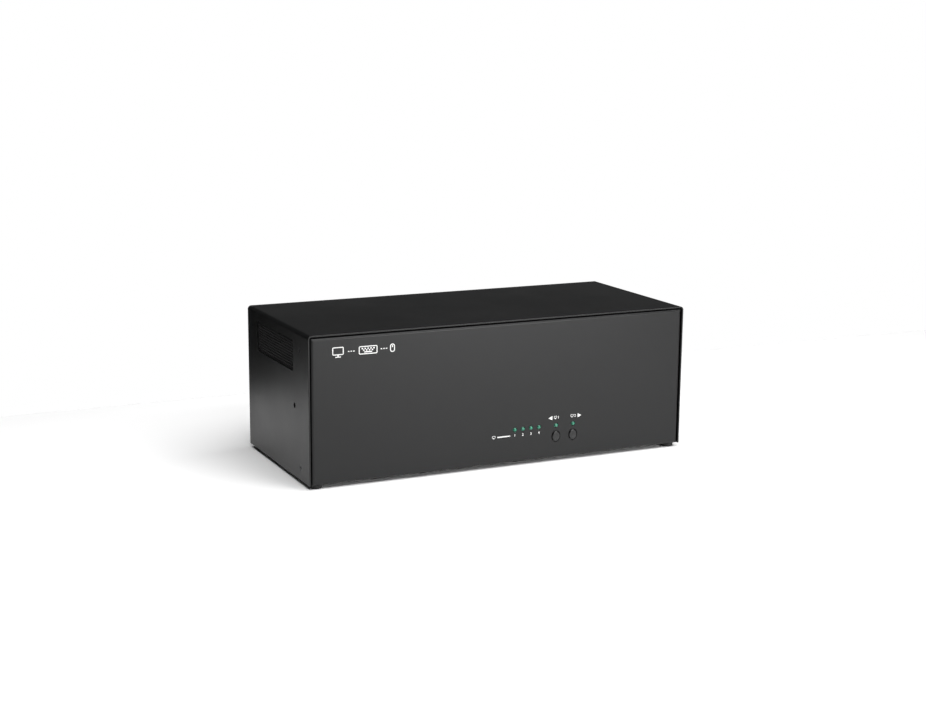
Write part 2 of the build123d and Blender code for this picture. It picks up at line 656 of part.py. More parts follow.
def make_board_posts():
    """Posts from the base plate to the control board, and from each board to the next."""
    levels = board_stack()
    bottoms = [DECK] + [top for _, top in levels[:-1]]
    posts = [make_post(bottom, level[0]) for bottom, level in zip(bottoms, levels)]
    return [Pos(x, y, 0) * post for x, y in board_post_places() for post in posts]


def make_board_screws():
    """One long screw down through each column of posts."""
    top = VIDEO_TOP[-1]
    screw = pan_screw(top - FLOOR - 0.5)
    return [moved((x, y, top), (0, 0, 1), screw) for x, y in board_post_places()]


def make_stack_connectors():
    """Board-to-board pin strips near the front edge of each level."""
    levels = board_stack()
    length, width = STACK_SIZE
    y = (BOARD_Y[0] + 14, BOARD_Y[0] + 14 + width)
    strips = []
    for lower, upper in zip(levels, levels[1:]):
        strips += [block((x - length / 2, x + length / 2), y, (lower[1], upper[0])) for x in STACK_X]
    return strips


def chip(x, y, z, size, height):
    """A square chip that stands on z."""
    half = size / 2
    return block((x - half, x + half), (y - half, y + half), (z, z + height))


def make_video_chips():
    """Each video board's crosspoint and its five equalisers, one in front of each socket."""
    chips = []
    for top in VIDEO_TOP:
        chips.append(chip(CROSSPOINT_X, CHIP_ROW_Y, top, 23.0, CROSSPOINT_H))
        chips += [chip(x, CHIP_ROW_Y + 26, top, 9.0, 1.0) for x in SOCKET_X]
    return chips


def make_control_chips():
    """Processor, USB hubs and memory on the control board."""
    return [chip(x, CHIP_ROW_Y - 4, CONTROL_TOP, size, 1.4) for x, size in CONTROL_CHIP_SIZES.items()]


def make_video_heatsinks():
    """Finned heatsinks on the crosspoints."""
    x = (CROSSPOINT_X - SINK_W / 2, CROSSPOINT_X + SINK_W / 2)
    y = (CHIP_ROW_Y - SINK_W / 2, CHIP_ROW_Y + SINK_W / 2)
    fin = 1.2
    step = (SINK_W - fin) / (SINK_FINS - 1)
    sinks = []
    for top in VIDEO_TOP:
        base = top + CROSSPOINT_H
        sink = block(x, y, (base, base + 2.0))
        starts = [x[0] + i * step for i in range(SINK_FINS)]
        sink += [block((start, start + fin), y, (base + 2, base + 10)) for start in starts]
        sinks.append(sink)
    return sinks


def capacitor(x, y, z, radius, height):
    """An upright electrolytic capacitor with a rounded rim."""
    can = column(x, y, (z, z + height), radius)
    return fillet(can.edges().group_by(Axis.Z)[-1], 0.6)


def make_control_capacitors():
    return [capacitor(x, BOARD_Y[0] + 30, CONTROL_TOP, 4.0, 11.0) for x in CONTROL_CAN_X]


# ================================================================ sockets
def video_places():
    """(x, z) of the video sockets, board by board."""
    return [(x, top + VIDEO_AXIS) for top in VIDEO_TOP for x in SOCKET_X]


def console_usb_places():
    """x of the two double USB sockets in the console column."""
    return (SOCKET_X[4] - USB_A_SPREAD, SOCKET_X[4] + USB_A_SPREAD)


def d_prism(x, z, width, height, y):
    """A D-shaped bar: rounded, and narrower at the foot than at the top."""
    half_top, half_foot, half_h = width / 2, width / 2 - 1.6, height / 2
    points = [(-half_top, half_h), (half_top, half_h), (half_foot, -half_h), (-half_foot, -half_h)]
    outline = make_face(Polyline(*points, close=True))
    outline = fillet(outline.vertices(), height * 0.22)
    plane = Plane(origin=(x, y[1], z), x_dir=(1, 0, 0), z_dir=(0, -1, 0))
    return extrude(plane * outline, y[1] - y[0])


def make_video_shell():
    """Plated shell and mounting flange of one video socket, centred on x = z = 0."""
    front, seat, rim = BACK - SHEET - FLANGE_T, BACK - SHEET, BACK + SOCKET_PROUD
    flange = around(0, 0, FLANGE_W, FLANGE_H, (front, seat))
    flange = fillet(flange.edges().filter_by(Axis.Y), 1.0)
    shell = flange + d_prism(0, 0, SHELL_W, SHELL_H, (front, rim))
    shell -= d_prism(0, 0, SHELL_W - 2 * SHELL_T, SHELL_H - 2 * SHELL_T, (front - 1, rim + 1))
    return shell - [axle(side * JACK_X, 0, (front - 1, BACK), M3_HOLE_R) for side in (-1, 1)]


def make_video_insert():
    """Insulator of one video socket: a face with 24 contact holes and a blade slot, and its body."""
    inner = BACK - SHEET - FLANGE_T
    face = BACK + SOCKET_PROUD - 0.4
    insert = d_prism(0, 0, SHELL_W - 2 * SHELL_T, SHELL_H - 2 * SHELL_T, (inner, face))
    insert += around(0, -0.1, FLANGE_W - 2, FLANGE_H - 0.2, (inner - 9.0, inner))
    contacts = [(-9.0 + CONTACT_PITCH * i, CONTACT_PITCH * row) for i in range(8) for row in (-1, 0, 1)]
    marks = [Pos(x, z) * Rectangle(1.0, 1.0) for x, z in contacts]
    marks.append(Pos(8.6, 0) * Rectangle(3.4, 0.7))
    plane = Plane(origin=(0, face, 0), x_dir=(-1, 0, 0), z_dir=(0, 1, 0))
    insert -= [extrude(plane * mark, -3.0) for mark in marks]
    return insert - [axle(side * JACK_X, 0, (inner - 5, inner + 1), M3_HOLE_R) for side in (-1, 1)]


def make_jackscrews():
    """Hexagonal jackscrews: threaded stud through the panel, tapped for the cable's screws."""
    rim = BACK + SOCKET_PROUD
    screw = hexagon((0, BACK, 0), (0, rim, 0), JACK_FLATS)
    screw += axle(0, 0, (BACK - SHEET - 5, BACK), M3_R)
    screw -= axle(0, 0, (BACK + 0.6, rim + 1), JACK_BORE_R)
    places = [(x + side * JACK_X, z) for x, z in video_places() for side in (-1, 1)]
    return [Pos(x, 0, z) * screw for x, z in places]


def socket_tube(width, height, depth):
    """A thin plated tube around a USB socket, centred on x = z = 0 and open at the rear."""
    y = (BACK + USB_PROUD - depth, BACK + USB_PROUD)
    tube = around(0, 0, width, height, y)
    tube = fillet(tube.edges().filter_by(Axis.Y), 0.6)
    return tube - around(0, 0, width - 2 * USB_WALL, height - 2 * USB_WALL, (y[0] - 1, y[1] + 1))


def usb_b_core():
    """Plastic core of a square USB socket, with its tongue."""
    y = (BACK + USB_PROUD - 16.0, BACK + USB_PROUD - 0.5)
    core = around(0, 0, USB_B_W - 2 * USB_WALL, USB_B_H - 2 * USB_WALL, y)
    hollow = around(0, 0, 8.45, 7.8, (y[1] - 9.0, y[1] + 1))
    core -= chamfer(hollow.edges().filter_by(Axis.Y).group_by(Axis.Z)[-1], 1.6)
    return core + around(0, 0, 5.6, 3.2, (y[1] - 9.0, y[1] - 0.6))


def usb_a_core():
    """Plastic core of a double USB socket: two ports, one above the other."""
    y = (BACK + USB_PROUD - 18.0, BACK + USB_PROUD - 0.3)
    core = around(0, 0, USB_A_W - 2 * USB_WALL, USB_A_H - 2 * USB_WALL, y)
    for z in (-3.9, 3.9):
        core -= around(0, z, 12.5, 5.1, (y[1] - 9.5, y[1] + 1))
        core += around(0, z + 1.3, 11.1, 1.8, (y[1] - 9.5, y[1] - 0.5))
    return core


def usb_row(square, double):
    """square at each computer's column and double twice at the console's, on the control board."""
    row = [Pos(x, 0, CONTROL_TOP + USB_B_H / 2) * square for x in SOCKET_X[:4]]
    return row + [Pos(x, 0, CONTROL_TOP + USB_A_H / 2) * double for x in console_usb_places()]


# ================================================================ power
def inlet_pins():
    """(x, z) of the line, neutral and earth pins."""
    return [(POWER_X - 7, INLET_Z - 2), (POWER_X + 7, INLET_Z - 2), (POWER_X, INLET_Z + 2)]


def make_power_inlet():
    """Mains inlet body with its mounting flange and plug cavity."""
    flange = around(POWER_X, INLET_Z, 50.0, 22.6, (BACK, BACK + INLET_FLANGE))
    flange = fillet(flange.edges().filter_by(Axis.Y), 4.0)
    body = flange + around(POWER_X, INLET_Z, INLET_W, INLET_H, (BACK - INLET_DEPTH, BACK + 0.1))
    cavity = around(POWER_X, INLET_Z, 24.2, 16.4, (BACK + INLET_FLANGE - 16, BACK + INLET_FLANGE + 1))
    upper = [e for e in cavity.edges().filter_by(Axis.Y) if e.center().Z > INLET_Z]
    body -= chamfer(upper, 4.6)
    for x, z in inlet_pins():
        body -= around(x, z, 2.0, 4.0, (BACK - INLET_DEPTH - 1, BACK))
    for side in (-1, 1):
        at = POWER_X + side * INLET_SCREW_X
        body -= cone((at, BACK + INLET_FLANGE, INLET_Z), (at, BACK, INLET_Z), 3.3, M3_HOLE_R)
    return body


def make_inlet_pins():
    """Three pins whose tails are the connection tabs."""
    pins = []
    for x, z in inlet_pins():
        pin = around(x, z, 2.0, 4.0, (BACK - INLET_DEPTH, BACK + INLET_FLANGE - 1.2))
        pins.append(pin + around(x, z, 0.8, 4.8, (BACK - INLET_DEPTH - TAB, BACK - INLET_DEPTH)))
    return pins


def make_inlet_screws():
    """Countersunk screws and nuts of the mains inlet."""
    pieces = []
    head = BACK + INLET_FLANGE - 0.2
    for side in (-1, 1):
        at = POWER_X + side * INLET_SCREW_X
        screw = cone((at, head, INLET_Z), (at, BACK + 0.5, INLET_Z), 3.0, M3_R)
        screw -= moved((at, head, INLET_Z), (0, 1, 0), cross_recess(3.2, 1.2))
        screw += axle(at, INLET_Z, (BACK - 6, BACK + 0.5), M3_R)
        nut = hexagon((at, BACK - SHEET - 2.4, INLET_Z), (at, BACK - SHEET, INLET_Z), 5.5)
        pieces += [screw, nut - axle(at, INLET_Z, (BACK - 8, BACK), M3_CORE_R)]
    return pieces


def pivot_rod(half_length, radius):
    """A cylinder about the rocker's pivot."""
    start = (POWER_X - half_length, ROCKER_PIVOT_Y, SWITCH_Z)
    return rod(start, (POWER_X + half_length, ROCKER_PIVOT_Y, SWITCH_Z), radius)


def make_switch_body():
    """Power switch housing with its bezel, rocker cavity, pivot holes and tabs."""
    bezel = around(POWER_X, SWITCH_Z, 15.4, 21.6, (BACK, BEZEL_FACE))
    bezel = fillet(bezel.faces().sort_by(Axis.Y)[-1].edges(), 0.6)
    depth = ROCKER_PIVOT_Y - ROCKER_R - SWITCH_WALL
    body = bezel + around(POWER_X, SWITCH_Z, SWITCH_W, SWITCH_H, (depth, BACK + 0.1))
    body -= pivot_rod(ROCKER_W / 2 + 0.2, ROCKER_R + 0.3)
    body -= pivot_rod(TRUNNION_X + 0.2, TRUNNION_R + 0.05)
    for z in SWITCH_TABS:
        body += around(POWER_X, SWITCH_Z + z, 4.8, 0.8, (depth - TAB, depth + 0.5))
    return body


def make_power_rocker():
    """Rocker in the off position: a drum about its pivot with a shallow V across the outside."""
    drum = pivot_rod(ROCKER_W / 2, ROCKER_R)
    valley = BEZEL_FACE - ROCKER_PIVOT_Y + 0.9
    rise = ROCKER_R * math.tan(math.radians(ROCKER_TILT))
    far = 3 * ROCKER_R
    face = [(-ROCKER_R, valley + rise), (0, valley), (ROCKER_R, valley + rise)]
    above = face + [(ROCKER_R, far), (-ROCKER_R, far)]
    plane = Plane(origin=(POWER_X - 6, ROCKER_PIVOT_Y, SWITCH_Z), x_dir=(0, 0, 1), z_dir=(-1, 0, 0))
    drum -= extrude(plane * make_face(Polyline(*above, close=True)), -12)
    drum += pivot_rod(TRUNNION_X, TRUNNION_R)
    return drum.rotate(Axis((0, ROCKER_PIVOT_Y, SWITCH_Z), (1, 0, 0)), -ROCKER_TILT)


def supply_post_places():
    """(x, y) of the power supply's four posts."""
    inset = SUPPLY_POST_INSET
    rows = (SUPPLY_Y[0] + inset, SUPPLY_Y[1] - inset)
    return [(x, y) for x in (SUPPLY_X[0] + inset, SUPPLY_X[1] - inset) for y in rows]


def make_supply_board():
    """Power supply board, drilled for its posts' screws."""
    z = (SUPPLY_TOP - PCB, SUPPLY_TOP)
    board = block(SUPPLY_X, SUPPLY_Y, z)
    return board - [column(*at, (z[0] - 1, z[1] + 1), M3_HOLE_R) for at in supply_post_places()]


def make_supply_posts():
    post = make_post(DECK, SUPPLY_TOP - PCB)
    return [Pos(x, y, 0) * post for x, y in supply_post_places()]


def make_supply_screws():
    return [moved((x, y, SUPPLY_TOP), (0, 0, 1), pan_screw(8.0)) for x, y in supply_post_places()]


def make_transformer():
    """Switching transformer: ferrite core around a wound bobbin."""
    x, y = TRANSFORMER
    z = SUPPLY_TOP
    core = block((x - 15, x + 15), (y - 6, y + 6), (z + 2, z + 27))
    core -= block((x - 10, x + 10), (y - 7, y + 7), (z + 7, z + 22))
    core += column(x, y, (z + 6, z + 23), 5.0)
    winding = column(x, y, (z + 7, z + 22), 9.6) - column(x, y, (z, z + 30), 5.0)
    base = block((x - 13, x + 13), (y - 11, y + 11), (z, z + 2))
    return [core, winding, base]


def make_supply_capacitors():
    """The input capacitor and two output capacitors."""
    cans = [capacitor(-146.0, SUPPLY_Y[0] + 62, SUPPLY_TOP, 9.0, 28.0)]
    return cans + [capacitor(x, SUPPLY_Y[0] + 16, SUPPLY_TOP, 5.0, 20.0) for x in (-112.0, -100.0)]


def make_supply_heatsinks():
    """Upright heatsink plates with two transistors on each."""
    y = (SUPPLY_Y[0] + 26, SUPPLY_Y[0] + 58)
    pieces = []
    for x in (-160.0, -104.0):
        pieces.append(block((x, x + 2), y, (SUPPLY_TOP, SUPPLY_TOP + 26)))
        for start in (y[0] + 2, y[0] + 16):
            pieces.append(block((x + 2, x + 6.5), (start, start + 10), (SUPPLY_TOP + 6, SUPPLY_TOP + 22)))
    return pieces


def header(place, length):
    """A terminal header centred on place, on the supply's or the control board."""
    x, y = place
    return block((x - length / 2, x + length / 2), (y - 4, y + 4), (SUPPLY_TOP, HEADER_TOP))


def make_power_headers():
    """Mains in, low voltage out, and low voltage in on the control board."""
    return [header(AC_HEADER, 24.0), header(DC_HEADER, 12.0), header(BOARD_HEADER, 12.0)]


def wire(points, radius):
    """A round wire of straight runs joined by tangent arcs of one radius."""
    path = FilletPolyline(*points, radius=radius)
    section = Plane(origin=path @ 0, z_dir=path % 0) * Circle(WIRE_R)
    return sweep(section, path=path)


def make_mains_wires():
    """Line to the switch and on to the supply, neutral, and earth, all from the inlet's tabs."""
    tab_y = BACK - INLET_DEPTH - TAB
    switch_y = ROCKER_PIVOT_Y - ROCKER_R - SWITCH_WALL - TAB
    lower, upper = SWITCH_Z + SWITCH_TABS[0], SWITCH_Z + SWITCH_TABS[1]
    (line_x, line_z), (neutral_x, neutral_z), (earth_x, earth_z) = inlet_pins()
    loop_y = tab_y - 4.5
    line = [
        (line_x, tab_y, line_z),
        (line_x, loop_y, line_z),
        (POWER_X, loop_y, lower),
        (POWER_X, switch_y, lower),
    ]
    header_y = AC_HEADER[1]
    switched = [(POWER_X, switch_y, upper), (POWER_X, header_y, upper), (POWER_X, header_y, HEADER_TOP)]
    neutral = [
        (neutral_x, tab_y, neutral_z),
        (neutral_x, header_y, neutral_z),
        (neutral_x, header_y, HEADER_TOP),
    ]
    earth = [
        (earth_x, tab_y, earth_z),
        (earth_x, tab_y - 9, earth_z),
        (GROUND_X, tab_y - 9, earth_z + 1.5),
        (GROUND_X, tab_y - 2, GROUND_Z),
        (GROUND_X, BACK + GROUND_WASHER - GROUND_LENGTH, GROUND_Z),
    ]
    return [wire(line, 3.0), wire(switched, 6.0), wire(neutral, 3.0), wire(earth, 4.0)]


def make_low_voltage_wires():
    """Supply and return from the power supply to the control board."""
    wires = []
    for shift in (-2.5, 2.5):
        (start_x, start_y), (end_x, end_y) = DC_HEADER, BOARD_HEADER
        height = HEADER_TOP + 12 - shift
        points = [
            (start_x + shift, start_y, HEADER_TOP),
            (start_x + shift, start_y, height),
            (end_x + shift, end_y, height),
            (end_x + shift, end_y, HEADER_TOP),
        ]
        wires.append(wire(points, 5.0))
    return wires


def make_ground_stud():
    """Earthing screw through the rear panel, with its washer and nut."""
    x, z = GROUND_X, GROUND_Z
    seat = BACK + GROUND_WASHER
    washer = axle(x, z, (BACK, seat), 4.5) - axle(x, z, (BACK - 1, seat + 1), 2.1)
    screw = pan_screw(GROUND_LENGTH, radius=2.0, head_radius=3.9, head_height=2.6)
    nut = hexagon((x, BACK - SHEET - 3.2, z), (x, BACK - SHEET, z), 7.0) - axle(x, z, (BACK - 8, BACK), 2.05)
    return [washer, moved((x, seat, z), (0, 1, 0), screw), nut]


# ================================================================ output
def case_nodes():
    nodes = {
        "top_cover": make_top_cover(),
        "front_panel": make_front_panel(),
        "rear_panel": make_rear_panel(),
        "chassis_base": make_chassis_base(),
        "vent_grille_left": make_vent_grille(-1),
        "vent_grille_right": make_vent_grille(1),
        "countersunk_screws": make_countersunk_screws(),
        "rear_panel_screws": make_rear_screws(),
        "clinch_nuts": make_foot_nuts() + make_flange_nuts() + make_cover_nuts(),
        "side_mount_nut": make_side_mount_nut(),
        "foot_screws": make_foot_screws(),
    }
    corners = ("foot_front_left", "foot_front_right", "foot_rear_left", "foot_rear_right")
    for name, place in zip(corners, foot_places()):
        nodes[name] = make_foot(*place)
    return nodes


def control_nodes():
    nodes = {f"lamp_computer_{number}": make_led(x) for number, x in enumerate(LED_X, start=1)}
    for name, x in zip(("previous", "next"), MODE_X):
        nodes[f"lamp_{name}"] = make_led(x)
        nodes[f"button_{name}"] = make_button(x)
        nodes[f"tact_switch_{name}"] = make_tact_switch(x)
        nodes[f"tact_plunger_{name}"] = make_tact_plunger(x)
    nodes["lamp_spacers"] = make_led_spacers()
    nodes["button_guide"] = make_button_guide()
    nodes["indicator_board"] = make_ui_board()
    nodes["ribbon_cable"] = make_ribbon_cable()
    return nodes


def board_nodes():
    levels = board_stack()
    nodes = {"control_board": make_board(CONTROL_Y, levels[0])}
    for number, level in enumerate(levels[1:], start=1):
        nodes[f"video_board_{number}"] = make_board(BOARD_Y, level)
    nodes["standoffs"] = make_ui_studs() + make_board_posts() + make_supply_posts()
    nodes["board_screws"] = make_ui_screws() + make_board_screws() + make_supply_screws()
    nodes["stack_connectors"] = make_stack_connectors()
    nodes["wire_headers"] = make_ribbon_headers() + make_power_headers()
    nodes["chips"] = make_video_chips() + make_control_chips()
    nodes["capacitors"] = make_control_capacitors() + make_supply_capacitors()
    nodes["video_heatsinks"] = make_video_heatsinks()
    return nodes


def socket_nodes():
    shell, insert = make_video_shell(), make_video_insert()
    square, double = socket_tube(USB_B_W, USB_B_H, 16.0), socket_tube(USB_A_W, USB_A_H, 18.0)
    return {
        "video_socket_shells": [Pos(x, 0, z) * shell for x, z in video_places()],
        "video_socket_inserts": [Pos(x, 0, z) * insert for x, z in video_places()],
        "video_jackscrews": make_jackscrews(),
        "usb_shells": usb_row(square, double),
        "usb_inserts": usb_row(usb_b_core(), usb_a_core()),
    }


def power_nodes():
    return {
        "power_inlet": make_power_inlet(),
        "power_inlet_pins": make_inlet_pins(),
        "power_inlet_screws": make_inlet_screws(),
        "power_switch_body": make_switch_body(),
        "power_rocker": make_power_rocker(),
        "supply_board": make_supply_board(),
        "supply_transformer": make_transformer(),
        "supply_heatsinks": make_supply_heatsinks(),
        "mains_wires": make_mains_wires(),
        "low_voltage_wires": make_low_voltage_wires(),
        "ground_stud": make_ground_stud(),
    }


def main():
    os.makedirs("parts", exist_ok=True)
    nodes = {**case_nodes(), **control_nodes(), **board_nodes(), **socket_nodes(), **power_nodes()}
    for name, shape in nodes.items():
        solids = group(shape) if isinstance(shape, list) else shape
        export_step(solids, f"parts/{name}.step")
        print(name)


main()
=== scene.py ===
import json
import math

import bmesh
import bpy
from mathutils import Matrix, Vector
from mathutils.bvhtree import BVHTree


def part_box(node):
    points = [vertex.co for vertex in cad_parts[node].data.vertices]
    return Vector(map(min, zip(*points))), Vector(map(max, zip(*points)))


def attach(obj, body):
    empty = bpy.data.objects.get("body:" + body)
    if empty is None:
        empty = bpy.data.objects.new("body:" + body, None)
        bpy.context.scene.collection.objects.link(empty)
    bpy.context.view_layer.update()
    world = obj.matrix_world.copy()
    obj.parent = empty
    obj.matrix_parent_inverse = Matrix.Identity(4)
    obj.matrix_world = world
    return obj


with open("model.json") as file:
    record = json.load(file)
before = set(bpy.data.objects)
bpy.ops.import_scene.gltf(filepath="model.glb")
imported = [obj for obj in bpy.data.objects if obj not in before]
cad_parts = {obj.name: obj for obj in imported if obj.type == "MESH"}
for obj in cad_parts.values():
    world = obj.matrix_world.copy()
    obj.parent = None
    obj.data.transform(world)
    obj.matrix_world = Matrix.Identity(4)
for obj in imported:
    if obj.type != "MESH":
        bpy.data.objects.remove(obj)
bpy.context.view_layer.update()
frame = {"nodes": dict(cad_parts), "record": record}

MM = 0.001

# The case's faces, read from the frame
_, FRONT_Y, CASE_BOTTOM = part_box("front_panel")[0]
_, BACK_Y, REAR_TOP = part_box("rear_panel")[1]
LAMP_TIP_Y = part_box("lamp_computer_1")[0].y

# Camera: direction from the case's front, distance and lens
CAMERA_AZIMUTH = math.radians(-25.496)
CAMERA_ELEVATION = math.radians(12.059)
CAMERA_ROLL = math.radians(0.481)
CAMERA_DISTANCE = 1.3408
CAMERA_TARGET = Vector((-0.0388, FRONT_Y, 0.0922))
CAMERA_LENS = 63.69
SENSOR_WIDTH = 36.0

# Studio
FLOOR_X = (-1.4, 0.75)
FLOOR_Y = (-2.0, 0.27)
STUDIO_GLOW = 0.012  # how bright the backdrop is to anything but the camera

# Prints: white ink, this far off the panels
PRINT_LIFT = 0.04 * MM
DRAPE_START = 20.0 * MM  # how far outside the panel a draped print starts
PRINT_COLOR = (0.78, 0.78, 0.77)
NUMERAL_SIZE = 1.38  # font size over the height of its numerals
NUMERAL_WEIGHT = 0.02  # how much the numerals are thickened, over their height

# Front prints: the row of pictograms, with u from the case's middle and v from its underside
ROW_V = 107.3 * MM
ROW_LINE = 0.75 * MM
ROW_SCREEN_U, ROW_SCREEN_WIDTH = -148.0 * MM, 9.6 * MM
ROW_KEYBOARD_U, ROW_KEYBOARD_WIDTH = -122.4 * MM, 16.0 * MM
ROW_MOUSE_U, ROW_MOUSE_HEIGHT = -101.4 * MM, 6.8 * MM
ROW_DASHES_U = (-139.0 * MM, -111.0 * MM)
DASH, DASH_PITCH = 1.3 * MM, 2.2 * MM

# Front prints: labels of the lamps and the buttons
LABEL_V = 23.2 * MM
NUMERAL = 2.3 * MM
SMALL_SCREEN = 2.9 * MM
STRIP_U, STRIP_LENGTH, STRIP_HEIGHT = -0.2 * MM, 12.6 * MM, 1.0 * MM
STRIP_SCREEN_U = -9.8 * MM
STRIP_ARROW = (6.6 * MM, 5.0 * MM)  # tip and base
ARROWS_V = 34.8 * MM
ARROW_HEIGHT = 3.6 * MM
PREVIOUS_ARROW = (-7.5 * MM, -3.7 * MM)  # tip and base, from the button's lamp
NEXT_ARROW = (8.0 * MM, 4.4 * MM)

# Rear prints
COLUMN_LABEL_DROP = 11.7 * MM  # below the rear panel's top edge
SOCKET_LABEL_V = 7.8 * MM
COLUMN_NUMERAL, SOCKET_NUMERAL = 3.4 * MM, 3.0 * MM
CONSOLE_SPREAD = 10.0 * MM  # the console's USB pictograms, either side of its column


# ---------------------------------------------------------------- node helpers


class Shader:
    """A material under construction, with short calls for the nodes that the finishes share."""

    def __init__(self, name):
        self.material = bpy.data.materials.new(name)
        self.material.use_nodes = True
        self.nodes = self.material.node_tree.nodes
        self.links = self.material.node_tree.links
        self.surface = self.nodes["Principled BSDF"]
        self.place = self.nodes.new("ShaderNodeTexCoord").outputs["Object"]

    def link(self, source, target):
        """Joins an output socket to an input socket."""
        self.links.new(source, target)

    def set(self, **values):
        """Constant values, straight on the shader's own sockets."""
        for name, value in values.items():
            socket = self.surface.inputs[name.replace("_", " ")]
            socket.default_value = value

    def node(self, kind, **settings):
        """A new node with the given settings."""
        made = self.nodes.new(kind)
        for key, value in settings.items():
            setattr(made, key, value)
        return made

    def noise(self, scale, detail=2.0, roughness=0.5, stretch=(1, 1, 1)):
        """Fractal noise, as a factor; scale counts features per metre."""
        mapping = self.node("ShaderNodeMapping")
        mapping.inputs["Scale"].default_value = stretch
        self.link(self.place, mapping.inputs["Vector"])
        texture = self.node("ShaderNodeTexNoise")
        texture.inputs["Scale"].default_value = scale
        texture.inputs["Detail"].default_value = detail
        texture.inputs["Roughness"].default_value = roughness
        self.link(mapping.outputs["Vector"], texture.inputs["Vector"])
        return texture.outputs["Fac"]

    def along(self, axis):
        """Distance along one of the part's axes."""
        split = self.node("ShaderNodeSeparateXYZ")
        self.link(self.place, split.inputs["Vector"])
        return split.outputs[axis]

    def cells(self, scale, feature="F1"):
        """Voronoi distance, as a factor."""
        texture = self.node("ShaderNodeTexVoronoi", feature=feature)
        texture.inputs["Scale"].default_value = scale
        self.link(self.place, texture.inputs["Vector"])
        return texture.outputs["Distance"]

    def ramp(self, factor, low, high, start=0.0, end=1.0):
        """factor, rescaled from start..end to low..high and held there."""
        rescale = self.node("ShaderNodeMapRange")
        for name, value in (("From Min", start), ("From Max", end), ("To Min", low), ("To Max", high)):
            rescale.inputs[name].default_value = value
        self.link(factor, rescale.inputs["Value"])
        return rescale.outputs["Result"]

    def mix(self, factor, first, second):
        """Colour that goes from first to second with factor; each is a colour or a socket."""
        blend = self.node("ShaderNodeMix", data_type="RGBA")
        self.link(factor, blend.inputs["Factor"])
        for value, socket in ((first, blend.inputs[6]), (second, blend.inputs[7])):
            if isinstance(value, tuple):
                socket.default_value = (*value, 1.0)
            else:
                self.link(value, socket)
        return blend.outputs[2]

    def math(self, operation, first, second=0.0):
        """A maths node on sockets or numbers."""
        made = self.node("ShaderNodeMath", operation=operation)
        for value, socket in ((first, made.inputs[0]), (second, made.inputs[1])):
            if isinstance(value, (int, float)):
                socket.default_value = value
            else:
                self.link(value, socket)
        return made.outputs[0]

    def edges(self, radius, start=0.02, end=0.25):
        """1 along convex edges and 0 on flat faces, from the bevelled normal."""
        bevel = self.node("ShaderNodeBevel", samples=4)
        bevel.inputs["Radius"].default_value = radius
        geometry = self.node("ShaderNodeNewGeometry")
        dot = self.node("ShaderNodeVectorMath", operation="DOT_PRODUCT")
        self.link(bevel.outputs["Normal"], dot.inputs[0])
        self.link(geometry.outputs["Normal"], dot.inputs[1])
        turned = self.math("SUBTRACT", 1.0, dot.outputs["Value"])
        return self.ramp(turned, 0.0, 1.0, start, end)

    def bump(self, height, distance, strength=1.0):
        """Adds a bump to the surface, under any bump that it already has."""
        made = self.node("ShaderNodeBump")
        made.inputs["Strength"].default_value = strength
        made.inputs["Distance"].default_value = distance
        self.link(height, made.inputs["Height"])
        normal = self.surface.inputs["Normal"]
        if normal.is_linked:
            self.link(normal.links[0].from_socket, made.inputs["Normal"])
        self.link(made.outputs["Normal"], normal)


# ---------------------------------------------------------------- finishes


def painted_steel(name, color, roughness, grain=0.012):
    """Fine-textured powder coat: speckled, slightly uneven, thin and lighter on its edges."""
    shader = Shader(name)
    dust = shader.noise(9.0, detail=4.0, roughness=0.6)
    speck = shader.noise(2600.0, detail=1.0)
    lighter = tuple(c * 1.6 + 0.001 for c in color)
    base = shader.mix(shader.ramp(speck, 0.0, 1.0, 0.35, 0.7), color, lighter)
    worn = shader.math("MULTIPLY", shader.edges(0.35 * MM), shader.ramp(dust, 0.2, 0.55))
    base = shader.mix(worn, base, tuple(c * 2.0 + 0.01 for c in color))
    shader.link(base, shader.surface.inputs["Base Color"])
    gloss = shader.ramp(dust, roughness - 0.04, roughness + 0.05, 0.3, 0.7)
    shader.link(gloss, shader.surface.inputs["Roughness"])
    shader.bump(shader.noise(900.0, detail=3.0), grain * MM)
    shader.bump(shader.cells(1500.0, "SMOOTH_F1"), grain * 0.6 * MM)
    shader.set(Specular_IOR_Level=0.36)
    return shader.material


def plated_steel(name, color, roughness, streak=(1, 1, 1)):
    """Bare plated metal with rolling marks, cloudy plating and bright edges."""
    shader = Shader(name)
    clouds = shader.noise(60.0, detail=5.0, roughness=0.65)
    lines = shader.noise(700.0, detail=3.0, stretch=streak)
    darker = tuple(c * 0.72 for c in color)
    base = shader.mix(shader.ramp(clouds, 0.0, 1.0, 0.3, 0.7), darker, color)
    base = shader.mix(shader.edges(0.15 * MM), base, tuple(min(c * 1.3, 0.95) for c in color))
    shader.link(base, shader.surface.inputs["Base Color"])
    gloss = shader.ramp(lines, roughness - 0.07, roughness + 0.1, 0.3, 0.7)
    shader.link(gloss, shader.surface.inputs["Roughness"])
    shader.bump(lines, 0.006 * MM)
    shader.set(Metallic=1.0)
    return shader.material


def moulded_plastic(name, color, roughness, grain=0.01, scale=1400.0, coat=0.0):
    """Moulded plastic with spark-eroded grain and softly rubbed edges."""
    shader = Shader(name)
    patches = shader.noise(45.0, detail=3.0)
    base = shader.mix(shader.ramp(patches, 0.0, 1.0, 0.3, 0.7), color, tuple(c * 1.18 + 0.002 for c in color))
    base = shader.mix(shader.edges(0.2 * MM), base, tuple(min(c * 1.6 + 0.012, 0.95) for c in color))
    shader.link(base, shader.surface.inputs["Base Color"])
    gloss = shader.ramp(patches, roughness - 0.05, roughness + 0.06, 0.3, 0.7)
    shader.link(gloss, shader.surface.inputs["Roughness"])
    shader.bump(shader.noise(scale, detail=2.0), grain * MM)
    shader.set(Coat_Weight=coat, Coat_Roughness=0.15)
    return shader.material


